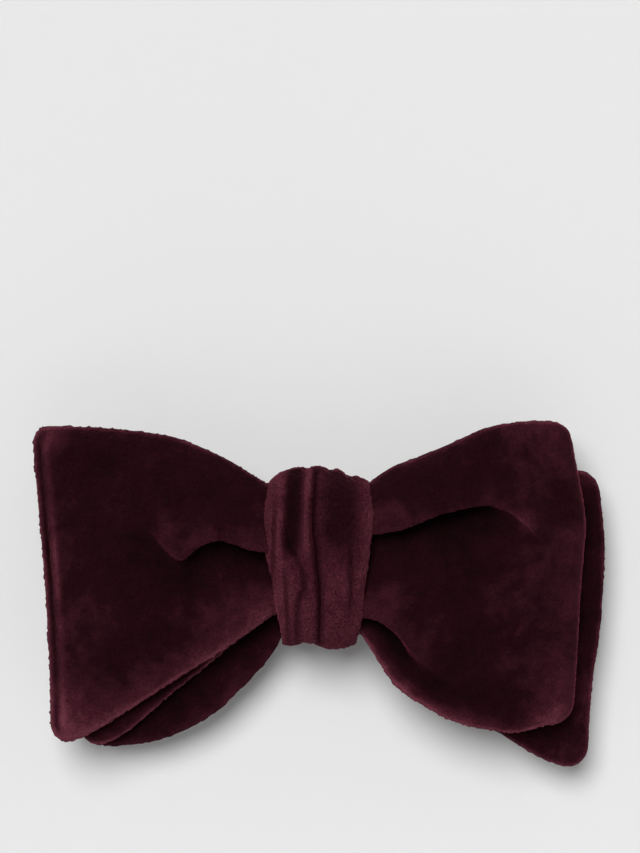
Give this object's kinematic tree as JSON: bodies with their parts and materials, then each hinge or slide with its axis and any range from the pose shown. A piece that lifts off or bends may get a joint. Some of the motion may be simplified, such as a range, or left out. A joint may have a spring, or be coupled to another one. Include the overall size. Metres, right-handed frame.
{
  "type": "bow tie",
  "caption": "Velvet butterfly bow tie with a pleated knot, two free ends, two folded loops and an adjustable neckband with hook, eye and slider, folded flat behind the bow.",
  "frame": {"origin": "middle of the bow's outline, on the surface that it lies on (its folded neckband is underneath)", "axes": "+X to the right of the bow seen from its front, +Y to its top edge, +Z out of its front"},
  "size_m": [0.12, 0.0724, 0.0235],
  "materials": {
    "velvet": "deep burgundy silk velvet, dense short pile with crushed patches",
    "interlining": "unbleached woven interlining",
    "wadding": "soft felted wadding",
    "neckband": "burgundy grosgrain ribbon, half gloss",
    "metal": "bright nickel plate",
    "thread": "burgundy sewing thread"
  },
  "bodies": {
    "bow": {"front_left_wing_face": "velvet", "front_left_wing_interlining": "interlining", "front_left_wing_backing": "velvet", "back_left_loop_outer": "velvet", "back_left_loop_interlining": "interlining", "back_left_loop_inner": "velvet", "front_right_loop_outer": "velvet", "front_right_loop_interlining": "interlining", "front_right_loop_inner": "velvet", "back_right_wing_face": "velvet", "back_right_wing_interlining": "interlining", "back_right_wing_backing": "velvet", "waist_core": "velvet", "waist_binding": "thread", "knot_wadding": "wadding", "knot_wrap": "velvet", "knot_back_seam": "thread", "neckband_center": "neckband"},
    "left_band": {"left_band_turn": "neckband", "left_band": "neckband", "eye_bar_tack": "thread"},
    "eye": {"eye": "metal"},
    "right_band": {"right_band_turn": "neckband", "right_band": "neckband"},
    "hook_loop": {"hook_loop": "neckband"},
    "hook": {"hook": "metal"},
    "slider": {"slider": "metal", "slider_band_end": "neckband", "slider_bar_tack": "thread", "return_band": "neckband"}
  },
  "joints": [
    {"name": "left_band_fold", "type": "hinge", "parent": "bow", "child": "left_band", "pos_m": [-0.053, 0.0073, 0.0039], "axis": [-0.0693, 0.9976, 0], "range_deg": [0, 180], "deforming": ["left_band_turn"]},
    {"name": "eye_pivot", "type": "hinge", "parent": "left_band", "child": "eye", "pos_m": [0.04109, 0.02044, 0.00215], "axis": [-0.1383, 0.9904, 0], "range_deg": [-10, 90]},
    {"name": "right_band_fold", "type": "hinge", "parent": "bow", "child": "right_band", "pos_m": [0.053, 0.0073, 0.00565], "axis": [0.0693, -0.9976, 0], "range_deg": [0, 180], "deforming": ["right_band_turn"]},
    {"name": "strap_extension", "type": "slide", "parent": "right_band", "child": "hook_loop", "axis": [-0.9904, -0.1383, 0], "range_m": [0, 0.06], "deforming": ["return_band"]},
    {"name": "slider_travel", "type": "slide", "parent": "hook_loop", "child": "slider", "axis": [-0.9904, -0.1383, 0], "range_m": [0, 0.06]},
    {"name": "hook_pivot", "type": "hinge", "parent": "hook_loop", "child": "hook", "pos_m": [-0.04307, -0.00611, 0.00215], "axis": [0.1383, -0.9904, 0], "range_deg": [-10, 90]}
  ],
  "couplings": [
    {"joint": "slider_travel", "follows": "strap_extension", "ratio": 1}
  ]
}
